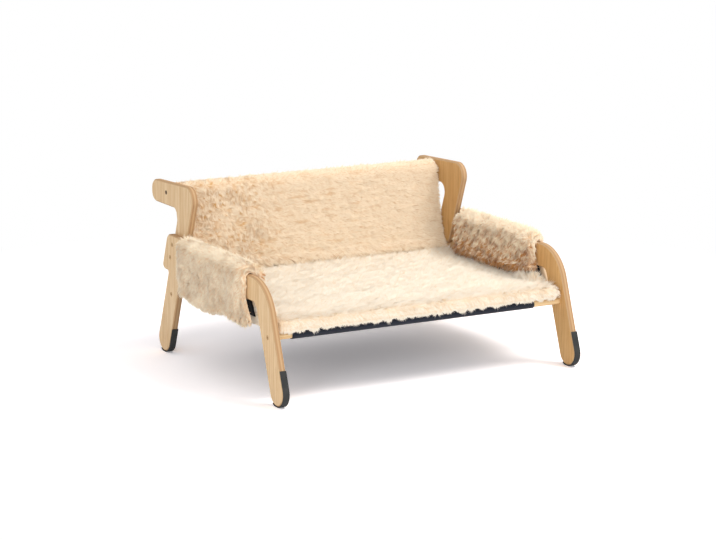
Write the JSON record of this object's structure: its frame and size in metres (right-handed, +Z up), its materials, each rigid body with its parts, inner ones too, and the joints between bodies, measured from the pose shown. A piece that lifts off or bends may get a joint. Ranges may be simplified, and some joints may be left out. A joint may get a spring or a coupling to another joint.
{
  "type": "raised cat bed",
  "caption": "Raised cat bed like a small sofa: splayed plywood side frames, hook-topped back posts, round rails, dark canvas sling, plush seat mat, back pad and arm covers, rubber feet.",
  "frame": {"origin": "on the floor, midway between the side frames and midway between the front feet and the tips of the back hooks", "axes": "+X along the rails, from the side frame named left to the one named right; +Y from the front towards the back; +Z up from the floor"},
  "size_m": [0.6432, 0.535, 0.3154],
  "materials": {
    "plywood": "satin",
    "dowel_wood": "satin",
    "bolt_metal": "matte",
    "insert_brass": "satin",
    "foot_rubber": "matte",
    "sling_canvas": "matte",
    "seat_plush": "matte",
    "back_plush": "matte",
    "arm_plush": "matte",
    "lining_cloth": "matte"
  },
  "bodies": {
    "root": {"arm_cover_left": "arm_plush", "arm_cover_right": "arm_plush", "arm_lining_left": "lining_cloth", "arm_lining_right": "lining_cloth", "back_pad": "back_plush", "back_post_left": "plywood", "back_post_right": "plywood", "canvas_sling": "sling_canvas", "foot_strip_front_left": "foot_rubber", "foot_strip_front_right": "foot_rubber", "foot_strip_rear_left": "foot_rubber", "foot_strip_rear_right": "foot_rubber", "front_seat_rail": "dowel_wood", "post_bolts_left": "bolt_metal", "post_bolts_right": "bolt_metal", "post_inserts_left": "insert_brass", "post_inserts_right": "insert_brass", "rail_bolts_left": "bolt_metal", "rail_bolts_right": "bolt_metal", "rail_inserts_left": "insert_brass", "rail_inserts_right": "insert_brass", "rear_seat_rail": "dowel_wood", "seat_mat": "seat_plush", "side_frame_left": "plywood", "side_frame_right": "plywood", "top_back_rail": "dowel_wood"}
  },
  "joints": []
}
